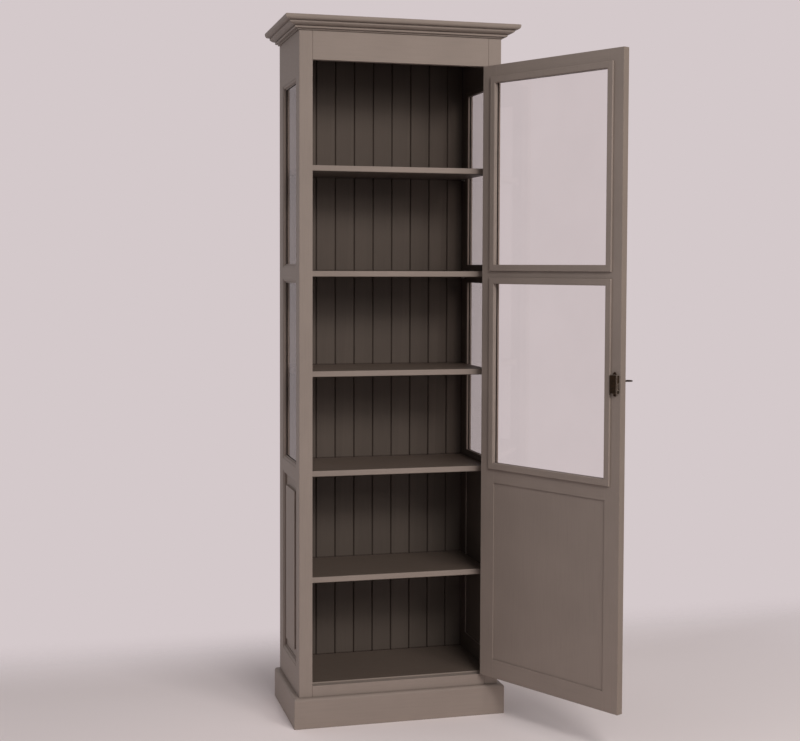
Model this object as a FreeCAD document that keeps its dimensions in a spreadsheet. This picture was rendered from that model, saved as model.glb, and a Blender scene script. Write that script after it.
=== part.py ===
import FreeCAD, Part
import math
import os
import re
import Sketcher

# A tall glazed bookcase: a framed cabinet with glazed sides, five loose shelves and one inset, locking door.
# Millimetres. The origin lies on the floor, midway across, in the plane of the face frame's front.
# X runs to the right, Y to the back and Z up. The door is drawn shut, then swung open about its hinge pins.

# Driving sizes.
SIZES = {
    # cabinet
    "total_height": 2100,
    "body_width": 620,
    "body_depth": 332,
    "side_thick": 22,
    "face_thick": 22,
    "face_stile": 40,
    "opening_low": 122.5,
    "head_height": 123,
    "rail_foot": 20,
    "edge_round": 2,
    "joint_vee": 1.1,
    # plinth, top and cornice
    "plinth_height": 90,
    "plinth_thick": 17,
    "plinth_round": 8,
    "top_thick": 15,
    "top_reach": 47,
    "top_nose": 10,
    "top_arris": 2.5,
    "cornice_height": 23,
    "cornice_reach": 32,
    "cornice_fillet": 5,
    "cornice_quirk": 1.5,
    "cornice_ovolo": 24,
    "cornice_shoulder": 15,
    "cornice_neck": 13,
    "cornice_bead": 7,
    "cornice_bead_round": 4.2,
    "cornice_foot": 3.9,
    "cornice_sink": 5.5,
    # rails that the sides and the door share
    "panel_low": 183,
    "lock_rail_low": 722.5,
    "lock_rail_width": 60.5,
    "bar_low": 1322.5,
    "bar_width": 57.5,
    # side frames
    "side_stile_front": 38,
    "side_stile_rear": 69,
    "side_top_drop": 183,
    "side_bead": 12,
    # joinery
    "tenon_length": 28,
    "tenon_thick": 7,
    "tenon_shoulder": 1,
    "mould_width": 11.5,
    "mould_quirk": 1.5,
    "mould_step": 1.2,
    "mould_depth": 8,
    "glass_seat": 10.5,
    "glass_thick": 3,
    "glass_bite": 8,
    "tape_thick": 2,
    "tape_width": 6,
    "tape_sight": 0.4,
    "groove_depth": 8,
    "groove_back": 4,
    "panel_tongue": 6,
    "panel_gap": 0.1,
    "panel_sink": 3,
    "field_inset": 29,
    "field_sink": 2,
    "tongue_play": 1,
    "bead_arris": 2.5,
    "bead_ease": 1.2,
    # floor, back and shelves
    "board_thick": 18,
    "floor_high": 127,
    "floor_arris": 3,
    "cleat": 20,
    "cleat_front": 60,
    "back_front": 318,
    "back_thick": 12,
    "back_board": 61.7,
    "back_tuck": 10,
    "back_tongue": 4,
    "back_tongue_length": 5,
    "back_vee": 3,
    "joint_play": 0.3,
    "back_rail_thick": 22,
    "back_rail_drop": 75,
    "shelf_front": 36,
    "shelf_back_gap": 2,
    "shelf_end_gap": 1,
    "shelf_arris": 3,
    "shelf_one": 1673,
    "shelf_two": 1360,
    "shelf_three": 1061,
    "shelf_four": 762,
    "shelf_five": 441.5,
    "shelf_pin_radius": 2.5,
    "shelf_pin_hold": 7,
    "shelf_pin_reach": 9,
    "shelf_pin_collar": 4,
    "shelf_pin_collar_thick": 1.5,
    "shelf_pin_front": 41,
    "shelf_pin_rear": 295,
    # door
    "door_thick": 22,
    "door_gap": 2,
    "door_gap_low": 3.5,
    "door_stile": 54,
    "door_top_drop": 179,
    "door_bead": 19,
    "door_bead_proud": 6,
    "door_ease": 1.5,
    "door_open": 117.6,
    # hinges
    "pin_forward": 0.4,
    "pin_radius": 1.25,
    "pin_head_radius": 2.2,
    "pin_head": 2.5,
    "running_gap": 0.05,
    "knuckle_radius": 3,
    "knuckle_gap": 0.3,
    "leaf_thick": 1.6,
    "leaf_width": 20,
    "hinge_height": 64,
    "hinge_inset": 150,
    "screw_end": 10.25,
    "screw_near": 8.4,
    "screw_far": 14,
    # screws
    "screw_radius": 1.7,
    "screw_head_radius": 3.4,
    "screw_length": 12,
    "screw_slot": 0.8,
    # lock, bolt and key
    "lock_setback": 5.6,
    "lock_plate": 2.8,
    "lock_width": 23.2,
    "lock_depth": 10,
    "lock_wall": 1.2,
    "lock_drop": 32.5,
    "lock_height": 51.5,
    "lock_ear_reach": 9,
    "lock_ear_radius": 7,
    "lock_ear_thick": 1.7,
    "lock_arris": 1,
    "part_gap": 0.3,
    "bolt_throw": 10,
    "bolt_proud": 1,
    "bolt_length": 25,
    "bolt_thick": 5,
    "bolt_low": 10,
    "key_setback": 19,
    "key_height": 1057,
    "key_radius": 2.8,
    "key_reach": 47,
    "key_tip": 7.5,
    "key_collar": 4.4,
    "key_collar_thick": 2.5,
    "bit_reach": 7,
    "bit_thick": 2,
    "bit_length": 4,
    "bow_diameter": 25,
    "bow_bar": 4,
    "keyhole_radius": 4,
    "keyhole_slot": 3,
    "escutcheon_width": 18,
    "escutcheon_height": 32,
    "escutcheon_thick": 1.2,
}

# Places and sizes that follow from them.
DERIVED = {
    "half": "body_width / 2",
    "inner": "half - side_thick",
    "clear_half": "half - face_stile",
    "opening_high": "total_height - head_height",
    "case_high": "total_height - top_thick",
    "cornice_low": "case_high - cornice_height",
    "lock_rail_high": "lock_rail_low + lock_rail_width",
    "bar_high": "bar_low + bar_width",
    "side_front_edge": "face_thick + side_stile_front",
    "side_rear_edge": "body_depth - side_stile_rear",
    "side_top_low": "total_height - side_top_drop",
    "tenon_inset": "max(door_bead; side_bead; mould_width; groove_depth) + tenon_shoulder",
    "tenon_front": "(side_thick - tenon_thick) / 2",
    "glass_rear": "glass_seat + glass_thick",
    "rebate_seat": "glass_seat - tape_thick",
    "bead_seat": "glass_rear + tape_thick",
    "groove_front": "side_thick - groove_back - panel_tongue",
    "door_left": "door_gap - clear_half",
    "door_right": "clear_half - door_gap",
    "door_low": "opening_low + door_gap_low",
    "door_high": "opening_high - door_gap",
    "door_top_low": "total_height - door_top_drop",
    "door_left_edge": "door_left + door_stile",
    "door_right_edge": "door_right - door_stile",
    "pin_x": "clear_half - door_gap / 2",
    "pin_y": "0 - pin_forward",
    "floor_low": "floor_high - board_thick",
    "back_rail_low": "total_height - back_rail_drop",
    "board_half": "inner + back_tuck",
    "swing_radius": "knuckle_radius + knuckle_gap",
    "lock_face": "door_left + lock_setback",
    "lock_case_start": "lock_face + lock_plate",
    "lock_case_end": "lock_case_start + lock_width",
    "lock_low": "key_height - lock_drop",
    "lock_high": "lock_low + lock_height",
    "lock_back": "door_thick + lock_depth",
    "key_x": "door_left + key_setback",
    "bolt_front": "door_thick + lock_wall + part_gap",
    "bolt_top": "key_height - key_radius - bit_thick / 2 - 2 * part_gap",
    "notch_floor": "key_height - bit_reach - bit_thick / 2",
    "notch_half": "bit_reach / 2 + bit_thick / 4",
    "bit_front": "bolt_front + part_gap",
}

doc = FreeCAD.newDocument("bookcase")
sheet = doc.addObject("Spreadsheet::Sheet", "dims")
for row, (alias, value) in enumerate(SIZES.items(), 1):
    sheet.set(f"A{row}", str(value))
    sheet.setAlias(f"A{row}", alias)
doc.recompute()

X, Y, Z = FreeCAD.Vector(1, 0, 0), FreeCAD.Vector(0, 1, 0), FreeCAD.Vector(0, 0, 1)
NODES = []


def formula(text):
    """A formula in the sizes' names, written as the sheet's cells."""

    def cell(match):
        word = match.group(0)
        if word in DERIVED:
            return f"({formula(DERIVED[word])})"
        return f"dims.{word}" if word in SIZES else word

    return re.sub(r"[a-z_]+", cell, str(text))


def number(text):
    """The value of such a formula."""
    value = sheet.evalExpression(formula(text))
    return float(getattr(value, "Value", value))


def numbers(*texts):
    return [number(text) for text in texts]


def bind(item, prop, text):
    item.setExpression(prop, formula(text))


def place(item, at=(0, 0, 0), turn=0, swings=False):
    """Puts an item at a point of the shut cabinet, turned about Z; what swings is opened with the door."""
    x, y, z = at
    if swings:
        dx, dy = f"(({x}) - pin_x)", f"(({y}) - pin_y)"
        x = f"pin_x + {dx} * cos(door_open) - {dy} * sin(door_open)"
        y = f"pin_y + {dx} * sin(door_open) + {dy} * cos(door_open)"
        turn = f"({turn}) + door_open"
    for axis, text in zip("xyz", (x, y, z)):
        bind(item, f"Placement.Base.{axis}", text)
    bind(item, "Placement.Rotation.Angle", turn)


def node(item, label):
    """Names a finished sub-part."""
    item.Label = label
    NODES.append(item)
    return item


def box(name, low, high):
    """A box between two corners."""
    item = doc.addObject("Part::Box", name)
    for prop, start, end in zip(("Length", "Width", "Height"), low, high):
        bind(item, prop, f"({end}) - ({start})")
    place(item, low)
    return item


def solid(name, shape):
    """A shape that is worked out here from the sheet's values."""
    item = doc.addObject("Part::Feature", name)
    item.Shape = shape
    return item


def block(low, high):
    """The shape of a box between two corners."""
    low, high = FreeCAD.Vector(*low), FreeCAD.Vector(*high)
    return Part.makeBox(*(high - low), low)


def fuse(name, items):
    item = doc.addObject("Part::MultiFuse", name)
    item.Shapes = items
    return item


def cut(name, base, tools):
    item = doc.addObject("Part::Cut", name)
    item.Base = base
    item.Tool = tools[0] if len(tools) == 1 else fuse(f"{name}_tools", tools)
    return item


def swing_matrix():
    """The turn that carries a shut door to its open rest position."""
    turn = FreeCAD.Placement()
    pin = FreeCAD.Vector(*numbers("pin_x", "pin_y"), 0)
    turn.rotate(pin, Z, number("door_open"))
    return turn


# Outlines in sketches.


def body(label):
    return node(doc.addObject("PartDesign::Body", label), label)


def sketch(owner, role, corners):
    """A closed outline on one of the body's own planes. A corner is (x, y), or (x, y, radius) where an arc
    leaves it; a positive radius turns to the left."""
    drawing = owner.newObject("Sketcher::SketchObject", "outline")
    plane = next(f for f in owner.Origin.OriginFeatures if f.Role == role)
    drawing.AttachmentSupport = (plane, [""])
    drawing.MapMode = "FlatFace"
    points = [FreeCAD.Vector(*numbers(*corner[:2]), 0) for corner in corners]
    ends = []
    for i, corner in enumerate(corners):
        start, end = points[i], points[(i + 1) % len(points)]
        if len(corner) == 2:
            ends.append((drawing.addGeometry(Part.LineSegment(start, end)), 1, 2))
            continue
        radius = number(corner[2])
        chord = end - start
        left = FreeCAD.Vector(-chord.y, chord.x, 0).normalize() * math.copysign(1, radius)
        rise = math.sqrt(max(radius**2 - (chord.Length / 2) ** 2, 0))
        centre = start + chord * 0.5 + left * rise
        first, last = (start, end) if radius > 0 else (end, start)
        angles = [math.atan2(p.y - centre.y, p.x - centre.x) for p in (first, last)]
        circle = Part.Circle(centre, Z, abs(radius))
        arc = drawing.addGeometry(Part.ArcOfCircle(circle, *angles))
        ends.append((arc, 1, 2) if radius > 0 else (arc, 2, 1))
        rule = drawing.addConstraint(Sketcher.Constraint("Radius", arc, abs(radius)))
        bind(drawing, f"Constraints[{rule}]", f"abs({corner[2]})")
    for i, (edge, start, _) in enumerate(ends):
        before, _, end = ends[i - 1]
        drawing.addConstraint(Sketcher.Constraint("Coincident", before, end, edge, start))
        for kind, text, value in zip(("DistanceX", "DistanceY"), corners[i], points[i]):
            rule = drawing.addConstraint(Sketcher.Constraint(kind, -1, 1, edge, start, value))
            bind(drawing, f"Constraints[{rule}]", text)
    return drawing


def pad(owner, drawing, length, backwards=False):
    item = owner.newObject("PartDesign::Pad", "pad")
    item.Profile = drawing
    bind(item, "Length", length)
    item.Reversed = backwards
    drawing.Visibility = False
    return item


def pocket(owner, drawing, backwards=False):
    """A cut right through."""
    item = owner.newObject("PartDesign::Pocket", "pocket")
    item.Profile = drawing
    item.Type = "ThroughAll"
    item.Reversed = backwards
    return item


def round_edges(owner, radius, wanted):
    """Rounds the straight edges of the body's tip that the test picks by their two ends."""
    doc.recompute()
    tip = owner.Tip
    names = []
    for i, edge in enumerate(tip.Shape.Edges, 1):
        ends = [vertex.Point for vertex in edge.Vertexes]
        if len(ends) == 2 and wanted(*ends):
            names.append(f"Edge{i}")
    item = owner.newObject("PartDesign::Fillet", "rounding")
    item.Base = (tip, names)
    bind(item, "Radius", radius)
    return item


def level(first, second, axis, text):
    """Do both points lie at this place along the axis?"""
    place_at = number(text)
    return all(abs(getattr(p, axis) - place_at) < 0.001 for p in (first, second))


def plain_board(label, size, at):
    """A board with square edges, drawn across its length and padded up."""
    item = body(label)
    wide, deep, tall = size
    pad(item, sketch(item, "XY_Plane", [(0, 0), (wide, 0), (wide, deep), (0, deep)]), tall)
    place(item, at)
    return item


def moulded_run(label, outline, reach, length, mitres, at, turn):
    """A moulded strip along its own X, with its back at Y = 0; the outline is drawn in Y and Z, and the ends
    that are named in mitres are cut at 45 degrees so that the front is longer than the back."""
    item = body(label)
    pad(item, sketch(item, "YZ_Plane", outline), length)
    for end in mitres:
        start, back = ("0", reach) if end == "start" else (length, f"{length} - {reach}")
        corners = [(start, f"0 - ({reach})"), (back, 0), (start, 0)]
        if end == "end":
            corners.reverse()
        doc.recompute()
        whole = item.Tip.Shape.Volume
        pocket(item, sketch(item, "XY_Plane", corners), backwards=True)
        doc.recompute()
        if item.Tip.Shape.Volume >= whole:
            raise RuntimeError(f"the mitre of {label} cuts nothing")
    place(item, at, turn)
    return item


# Plinth, top and cornice: each goes round the front and both sides.


def around(name, outline, reach, low):
    """The front, left and right runs of a moulding on the cabinet's faces."""
    across = f"body_width + 2 * {reach}"
    along = f"body_depth + {reach}"
    moulded_run(f"{name}_front", outline, reach, across, ("start", "end"), (f"0 - half - {reach}", 0, low), 0)
    moulded_run(f"{name}_right", outline, reach, along, ("start",), ("half", f"0 - {reach}", low), 90)
    moulded_run(f"{name}_left", outline, reach, along, ("end",), ("0 - half", "body_depth", low), -90)


def plinth():
    outline = [
        (0, 0),
        (0, "plinth_height"),
        ("plinth_round - plinth_thick", "plinth_height", "plinth_round"),
        ("0 - plinth_thick", "plinth_height - plinth_round"),
        ("0 - plinth_thick", 0),
    ]
    around("plinth", outline, "plinth_thick", 0)


def cornice():
    """From the top down: a fillet, a quirked ovolo, a half-round bead and a foot set back under it."""
    ovolo_high = "cornice_height - cornice_fillet"
    bead_high = "cornice_foot + cornice_bead"
    outline = [
        (0, 0),
        (0, "cornice_height"),
        ("0 - cornice_reach", "cornice_height"),
        ("0 - cornice_reach", ovolo_high),
        ("cornice_quirk - cornice_reach", f"{ovolo_high} - cornice_quirk", "cornice_ovolo"),
        ("0 - cornice_shoulder", bead_high),
        ("0 - cornice_neck", bead_high, "cornice_bead_round"),
        ("0 - cornice_neck", "cornice_foot"),
        ("0 - cornice_sink", "cornice_foot"),
        ("0 - cornice_sink", 0),
    ]
    around("cornice", outline, "cornice_reach", "cornice_low")


def top_board():
    item = body("top_board")
    wide, deep = "body_width + 2 * top_reach", "body_depth + top_reach"
    pad(item, sketch(item, "XY_Plane", [(0, 0), (wide, 0), (wide, deep), (0, deep)]), "top_thick")

    def moulded(height):
        def wanted(first, second):
            outer = [level(first, second, *side) for side in (("y", 0), ("x", 0), ("x", wide))]
            return any(outer) and level(first, second, "z", height)

        return wanted

    round_edges(item, "top_nose", moulded("0"))
    round_edges(item, "top_arris", moulded("top_thick"))
    place(item, ("0 - half - top_reach", "0 - top_reach", "case_high"))


# Panelled frames: the two sides and the door share one section. Within a frame, u runs across it, z up, and v
# from its outer face inwards.


class Frame:
    """Where a panelled frame stands: turns u, z and v into the cabinet's X, Y and Z."""

    def __init__(self, name, bead, bead_high, swings=False):
        self.name, self.bead, self.bead_high, self.swings = name, bead, bead_high, swings

    def corners(self, u, z, v):
        """The lowest and highest corner of a box from its ranges."""
        if self.name == "side_left":
            x, y = (f"{v[0]} - half", f"{v[1]} - half"), u
        elif self.name == "side_right":
            x, y = (f"half - ({v[1]})", f"half - ({v[0]})"), u
        else:
            x, y = u, v
        return (x[0], y[0], z[0]), (x[1], y[1], z[1])

    def box(self, name, u, z, v):
        return box(name, *self.corners(u, z, v))

    def ring_place(self, u, z):
        """Where a ring stands that was drawn in u, z and v from the opening's corner."""
        low, high, foot = numbers(u[0], u[1], z[0])
        half = number("half")
        if self.name == "side_left":
            return FreeCAD.Placement(FreeCAD.Vector(-half, low, foot), FreeCAD.Rotation(Y, Z, X, "XYZ"))
        if self.name == "side_right":
            return FreeCAD.Placement(FreeCAD.Vector(half, high, foot), FreeCAD.Rotation(-Y, Z, -X, "XYZ"))
        return FreeCAD.Placement(FreeCAD.Vector(high, 0, foot), FreeCAD.Rotation(-X, Z, Y, "XYZ"))


def curved_face(points, arcs):
    """A face in the XZ plane from its corners; arcs gives the middle of the edge that leaves a corner."""
    edges = []
    for i, point in enumerate(points):
        ends = [FreeCAD.Vector(p[0], 0, p[1]) for p in (point, points[(i + 1) % len(points)])]
        if i in arcs:
            middle = FreeCAD.Vector(arcs[i][0], 0, arcs[i][1])
            edges.append(Part.Arc(ends[0], middle, ends[1]).toShape())
        else:
            edges.append(Part.LineSegment(*ends).toShape())
    return Part.Face(Part.Wire(edges))


def moulding_cutter(wide, tall):
    """What the stuck moulding takes off round an opening of this size: a quirk and an ovolo, mitred."""
    width, quirk, step, depth = numbers("mould_width", "mould_quirk", "mould_step", "mould_depth")
    radius = depth - step
    bend = radius * (1 - math.sqrt(0.5))
    over = 1  # how far the cutter stands out of the face

    def slab(across, along):
        far, edge = across + width, across + width - quirk
        points = [(-width, -over), (far, -over), (far, step), (edge, step), (edge - radius, depth)]
        points += [(radius + quirk - width, depth), (quirk - width, step), (-width, step)]
        arcs = {3: (edge - radius + bend, step + bend), 5: (quirk - width + radius - bend, step + bend)}
        shape = curved_face(points, arcs).extrude(FreeCAD.Vector(0, along + 2 * width, 0))
        shape.translate(FreeCAD.Vector(0, -width, 0))
        return shape

    standing = slab(wide, tall)
    lying = slab(tall, wide)
    lying.rotate(FreeCAD.Vector(), Z, 90)
    lying.translate(FreeCAD.Vector(wide, 0, 0))
    return standing.common(lying)


def bead_ring(wide, tall, width, low, high):
    """Four mitred glazing beads round an opening of this size, standing outside it by their width."""
    arris, ease = numbers("bead_arris", "bead_ease")
    bend = arris * (1 - math.sqrt(0.5))
    soft = ease * (1 - math.sqrt(0.5))
    beads = []
    outer_wide, outer_tall = wide + 2 * width, tall + 2 * width
    corners = [(0, 0), (outer_wide, 0), (outer_wide, outer_tall), (0, outer_tall)]
    for turns, full in enumerate((outer_wide, outer_tall, outer_wide, outer_tall)):
        points = [(0, low), (width, low), (width, high - arris), (width - arris, high), (ease, high)]
        points += [(0, high - ease)]
        arcs = {2: (width - bend, high - bend), 4: (soft, high - soft)}
        strip = curved_face(points, arcs).extrude(FreeCAD.Vector(0, -full, 0))
        strip.rotate(FreeCAD.Vector(), Z, 90)
        trapezium = ((0, 0), (full, 0), (full - width, width), (width, width), (0, 0))
        mitre = Part.makePolygon([FreeCAD.Vector(*point, low) for point in trapezium])
        strip = strip.common(Part.Face(mitre).extrude(FreeCAD.Vector(0, 0, high - low)))
        strip.rotate(FreeCAD.Vector(), Z, 90 * turns)
        strip.translate(FreeCAD.Vector(corners[turns][0] - width, corners[turns][1] - width, 0))
        beads.append(strip.Solids[0])
    return beads


def opening_tools(frame, name, u, z, glazed):
    """What an opening takes off the members round it: the moulding, and the rebate or the panel's groove."""
    spans = [number(f"({span[1]}) - ({span[0]})") for span in (u, z)]
    moulding = solid(f"{name}_moulding", moulding_cutter(*spans))
    moulding.Placement = frame.ring_place(u, z)
    if glazed:
        grown, v = frame.bead, ("rebate_seat", "side_thick")
    else:
        grown, v = "groove_depth", ("groove_front", "groove_front + panel_tongue")
    u, z = ((f"{span[0]} - {grown}", f"{span[1]} + {grown}") for span in (u, z))
    return [moulding, frame.box(f"{name}_recess", u, z, v)]


def tape_rings(wide, tall):
    """The dark tape on both faces of a pane, round an opening of this size."""
    thick, width, sight = numbers("tape_thick", "tape_width", "tape_sight")
    rings = []
    for low in numbers("rebate_seat", "glass_rear"):
        sides = []
        for out in (sight + width, sight):
            sides.append(block((-out, -out, low), (wide + out, tall + out, low + thick)))
        rings.append(sides[0].cut(sides[1]).Solids[0])
    return rings


def glazing(frame, u, heights):
    """Panes between the given heights, the tape on them and the beads that hold them."""
    panes, tapes, beads = [], [], []
    for name, z in zip(("lower", "upper"), heights):
        grown_u, grown_z = ((f"{span[0]} - glass_bite", f"{span[1]} + glass_bite") for span in (u, z))
        panes.append(frame.box(f"{frame.name}_pane_{name}", grown_u, grown_z, ("glass_seat", "glass_rear")))
        spans = [number(f"({span[1]}) - ({span[0]})") for span in (u, z)]
        there = frame.ring_place(u, z)
        for group, shapes in (
            (tapes, tape_rings(*spans)),
            (beads, bead_ring(*spans, *numbers(frame.bead, "bead_seat", frame.bead_high))),
        ):
            for shape in shapes:
                shape.Placement = there.multiply(shape.Placement)
                group.append(shape)
    glass = node(doc.addObject("Part::Compound", f"{frame.name}_glass"), f"{frame.name}_glass")
    glass.Links = panes
    place(glass, swings=frame.swings)
    for name, group in (("tape", tapes), ("beads", beads)):
        item = node(solid(f"{frame.name}_{name}", Part.makeCompound(group)), f"{frame.name}_{name}")
        if frame.swings:
            item.Placement = swing_matrix()


def panel(frame, u, z):
    """A solid panel whose tongue sits in the members' grooves and whose outer face has a raised field."""
    label = f"{frame.name}_panel"
    core = [(f"{span[0]} + panel_gap", f"{span[1]} - panel_gap") for span in (u, z)]
    bite = "(groove_depth - tongue_play)"
    tongue = [(f"{span[0]} - {bite}", f"{span[1]} + {bite}") for span in (u, z)]
    field = [(f"{span[0]} + field_inset", f"{span[1]} - field_inset") for span in (u, z)]
    pieces = [
        frame.box(f"{label}_core", *core, ("glass_seat", "side_thick - panel_sink")),
        frame.box(f"{label}_tongue", *tongue, ("groove_front", "groove_front + panel_tongue")),
        frame.box(f"{label}_field", *field, ("field_sink", "groove_front")),
    ]
    item = node(fuse(label, pieces), label)
    place(item, swings=frame.swings)


def panelled_frame(frame, outer, u, ends, rails, stiles, trim=()):
    """Stiles, rails, panes, beads and panel of one frame. outer and u are the stiles' outer and inner edges,
    ends their lowest and highest point; rails gives each rail's name and its two edges, from the bottom up;
    stiles gives each stile's name and what else is cut from it; trim is cut from the stiles and end rails."""
    tools = {}
    gaps = [(rails[i][2], rails[i + 1][1]) for i in range(len(rails) - 1)]
    names = ("panel", "lower", "upper")
    for name, z in zip(names, gaps):
        tools[name] = opening_tools(frame, f"{frame.name}_{name}", u, z, name != "panel")
    tenons = []
    v = ("tenon_front", "tenon_front + tenon_thick")
    for i, (name, low, high) in enumerate(rails):
        label = f"{frame.name}_{name}"
        span = (f"{u[0]} - tenon_length", f"{u[1]} + tenon_length")
        tenon = frame.box(f"{label}_tenon", span, (f"{low} + tenon_inset", f"{high} - tenon_inset"), v)
        blank = frame.box(f"{label}_blank", u, (low, high), (0, "side_thick"))
        near = [tool for key in names[max(i - 1, 0) : i + 1] for tool in tools[key]]
        if i in (0, len(rails) - 1):
            near += trim
        rail = node(cut(label, fuse(f"{label}_tenoned", [blank, tenon]), near), label)
        place(rail, swings=frame.swings)
        tenons.append(tenon)
    every = [tool for group in tools.values() for tool in group]
    for (name, cuts), span in zip(stiles, ((outer[0], u[0]), (u[1], outer[1]))):
        label = f"{frame.name}_{name}"
        blank = frame.box(f"{label}_blank", span, ends, (0, "side_thick"))
        stile = node(cut(label, blank, every + tenons + cuts + list(trim)), label)
        place(stile, swings=frame.swings)
    glazing(frame, u, gaps[1:])
    panel(frame, u, gaps[0])


RAILS = (
    ("rail_lower", "lock_rail_low", "lock_rail_high"),
    ("rail_middle", "bar_low", "bar_high"),
)


def side_frames():
    rails = (("rail_bottom", "rail_foot", "panel_low"), *RAILS, ("rail_top", "side_top_low", "case_high"))
    for name in ("side_left", "side_right"):
        frame = Frame(name, "side_bead", "side_thick")
        tuck = frame.box(
            f"{name}_back_rebate",
            ("back_front", "body_depth"),
            (0, "case_high"),
            ("side_thick - back_tuck - joint_play", "side_thick"),
        )
        panelled_frame(
            frame,
            outer=("face_thick", "body_depth"),
            u=("side_front_edge", "side_rear_edge"),
            ends=(0, "case_high"),
            rails=rails,
            stiles=(
                ("stile_front", [pin_holes(name, "front")]),
                ("stile_rear", [pin_holes(name, "rear"), tuck]),
            ),
        )


# Face frame.


def joint_vee(name, low, high):
    """The V that both members lose along the joints between a rail and the stiles."""
    edge, vee, low, high = numbers("clear_half", "joint_vee", low, high)
    grooves = []
    for x in (-edge, edge):
        points = ((x - 2 * vee, -vee), (x + 2 * vee, -vee), (x, vee), (x - 2 * vee, -vee))
        wire = Part.makePolygon([FreeCAD.Vector(*point, low) for point in points])
        grooves.append(Part.Face(wire).extrude(Z * (high - low)))
    return solid(f"face_joint_vee_{name}", Part.makeCompound(grooves))


def face_frame():
    tenons, grooves = [], []
    v = ("tenon_front", "tenon_front + tenon_thick")
    for name, low, high in (("bottom", "rail_foot", "opening_low"), ("top", "opening_high", "case_high")):
        label = f"face_rail_{name}"
        blank = box(f"{label}_blank", ("0 - clear_half", 0, low), ("clear_half", "face_thick", high))
        tenon = box(
            f"{label}_tenon",
            ("0 - clear_half - tenon_length", v[0], f"{low} + tenon_inset"),
            ("clear_half + tenon_length", v[1], f"{high} - tenon_inset"),
        )
        groove = joint_vee(name, low, high)
        node(cut(label, fuse(f"{label}_tenoned", [blank, tenon]), [groove]), label)
        tenons.append(tenon)
        grooves.append(groove)
    for name, start, end, round_x in (
        ("left", "0 - half", "0 - clear_half", "0 - half"),
        ("right", "clear_half", "half", "half"),
    ):
        label = f"face_stile_{name}"
        blank = box(f"{label}_blank", (start, 0, 0), (end, "face_thick", "case_high"))
        corner = solid(f"{label}_round", corner_cutter(number(round_x)))
        tools = tenons + grooves + [corner]
        if name == "right":
            tools = tools + [hinge_recess("clear_half", 1), screw_holes("cabinet")]
        node(cut(label, blank, tools), label)


def corner_cutter(x):
    """What rounds a stile's outer front arris, all the way up."""
    radius, high = numbers("edge_round", "case_high")
    side = math.copysign(1, x)
    square = Part.makeBox(radius, radius, high, FreeCAD.Vector(min(x, x - side * radius), 0, 0))
    return square.cut(Part.makeCylinder(radius, high, FreeCAD.Vector(x - side * radius, radius, 0)))


# Floor, back and shelves.


def arrised_board(label, size, at, radius, edges):
    """A board whose front edges are rounded; edges says which: lower, upper or both."""
    item = plain_board(label, size, at)
    heights = [{"lower": "0", "upper": size[2]}[edge] for edge in edges]

    def wanted(first, second):
        front = level(first, second, "y", 0)
        return front and any(level(first, second, "z", height) for height in heights)

    round_edges(item, radius, wanted)


def floor():
    size = ("2 * inner", "back_front - face_thick", "board_thick")
    at = ("0 - inner", "face_thick", "floor_low")
    arrised_board("floor_panel", size, at, "floor_arris", ("upper",))
    cleats = []
    for name, start in (("left", "0 - inner"), ("right", "inner - cleat")):
        low = (start, "cleat_front", "floor_low - cleat")
        high = (f"{start} + cleat", "back_front", "floor_low")
        cleats.append(box(f"floor_cleat_{name}", low, high))
    group = doc.addObject("Part::Compound", "floor_cleats")
    group.Links = cleats
    node(group, "floor_cleats")


def back():
    """Tongued and grooved boards from the right rebate to the left, the last one ripped narrower."""
    half, pitch, front, thick = numbers("board_half", "back_board", "back_front", "back_thick")
    low, high = numbers("rail_foot", "case_high")
    vee, tongue, reach, play = numbers("back_vee", "back_tongue", "back_tongue_length", "joint_play")
    tongue_front = front + (thick - tongue) / 2 + vee / 2
    tongue_back = tongue_front + tongue
    boards = []
    right = half
    while right > -half:
        left = max(right - pitch, -half)
        last = left <= -half
        points = [(right, front + vee), (right, front + thick), (left, front + thick)]
        if not last:
            points += [(left, tongue_back - play), (left - reach + play, tongue_back - play)]
            points += [(left - reach + play, tongue_front + play), (left, tongue_front + play)]
            points += [(left, front + vee), (left + vee, front)]
        else:
            points += [(left, front)]
        if right < half:
            points += [(right - vee, front), (right, front + vee)]
            points += [(right, tongue_front), (right - reach, tongue_front)]
            points += [(right - reach, tongue_back), (right, tongue_back)]
            points = points[1:]
        else:
            points += [(right, front)]
            points = points[1:]
        wire = Part.makePolygon([FreeCAD.Vector(x, y, low) for x, y in points + points[:1]])
        boards.append(Part.Face(wire).extrude(FreeCAD.Vector(0, 0, high - low)))
        right = left
    node(solid("back_boards", Part.makeCompound(boards)), "back_boards")
    start = ("0 - inner", "back_front - back_rail_thick", "back_rail_low")
    node(box("back_rail", start, ("inner", "back_front", "case_high")), "back_rail")


SHELVES = ("shelf_one", "shelf_two", "shelf_three", "shelf_four", "shelf_five")


def shelves():
    for i, high in enumerate(SHELVES, 1):
        size = (
            "2 * (inner - shelf_end_gap)",
            "back_front - shelf_back_gap - shelf_front",
            "board_thick",
        )
        at = ("shelf_end_gap - inner", "shelf_front", f"{high} - board_thick")
        arrised_board(f"shelf_{i}", size, at, "shelf_arris", ("lower", "upper"))


def pin_places(side, end):
    """The shelf pins in one stile: the point where each leaves the side's inner face."""
    x = number("inner") * (-1 if side == "side_left" else 1)
    y = number(f"shelf_pin_{end}")
    drop = number("board_thick") + number("shelf_pin_radius")
    return [FreeCAD.Vector(x, y, number(shelf) - drop) for shelf in SHELVES]


def pin_holes(side, end):
    hold, play, radius = numbers("shelf_pin_hold", "running_gap", "shelf_pin_radius")
    into = -X if side == "side_left" else X
    holes = [Part.makeCylinder(radius + play, hold, at, into) for at in pin_places(side, end)]
    return solid(f"{side}_{end}_pin_holes", Part.makeCompound(holes))


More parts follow.
